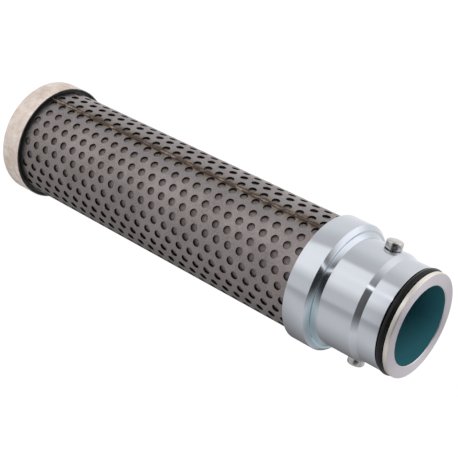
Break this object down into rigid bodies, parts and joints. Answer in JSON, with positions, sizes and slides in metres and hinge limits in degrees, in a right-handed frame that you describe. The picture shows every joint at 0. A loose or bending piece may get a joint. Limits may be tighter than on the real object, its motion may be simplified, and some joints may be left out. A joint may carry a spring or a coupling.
{
  "type": "hydraulic filter element",
  "caption": "Cylindrical hydraulic filter element: perforated steel tube with a closed end cap, a turned end fitting with an O-ring spigot and bayonet pins.",
  "frame": {"origin": "centre of the closed end cap's outer face, which the element stands on", "axes": "+Z along the element's axis towards the open spigot, +X through the first bayonet pin"},
  "size_m": [0.062, 0.062, 0.2452],
  "materials": {
    "nickel_cap": "pale satin nickel plate with brownish smudges",
    "potting_resin": "dark cast epoxy resin",
    "tube_steel": "satin warm grey sheet steel",
    "weld_bead": "fused weld bead with brown and straw heat tint",
    "woven_mesh": "fine woven steel wire cloth",
    "filter_media": "off-white pleated glass fibre",
    "clip_steel": "folded sheet steel",
    "core_steel": "zinc plated perforated sheet",
    "zinc_fitting": "bright blue-white zinc plate, turned",
    "seal_rubber": "glossy black nitrile rubber",
    "pin_steel": "bright plated steel"
  },
  "bodies": {
    "root": {"closed_end_cap": "nickel_cap", "closed_end_resin": "potting_resin", "perforated_tube": "tube_steel", "tube_seam_weld": "weld_bead", "mesh_sleeve": "woven_mesh", "pleated_media": "filter_media", "pleat_clip": "clip_steel", "core_tube": "core_steel", "core_seam_weld": "weld_bead", "open_end_resin": "potting_resin", "end_fitting": "zinc_fitting", "spigot_o_ring": "seal_rubber", "bayonet_pin_a": "pin_steel", "bayonet_pin_b": "pin_steel"}
  },
  "joints": []
}
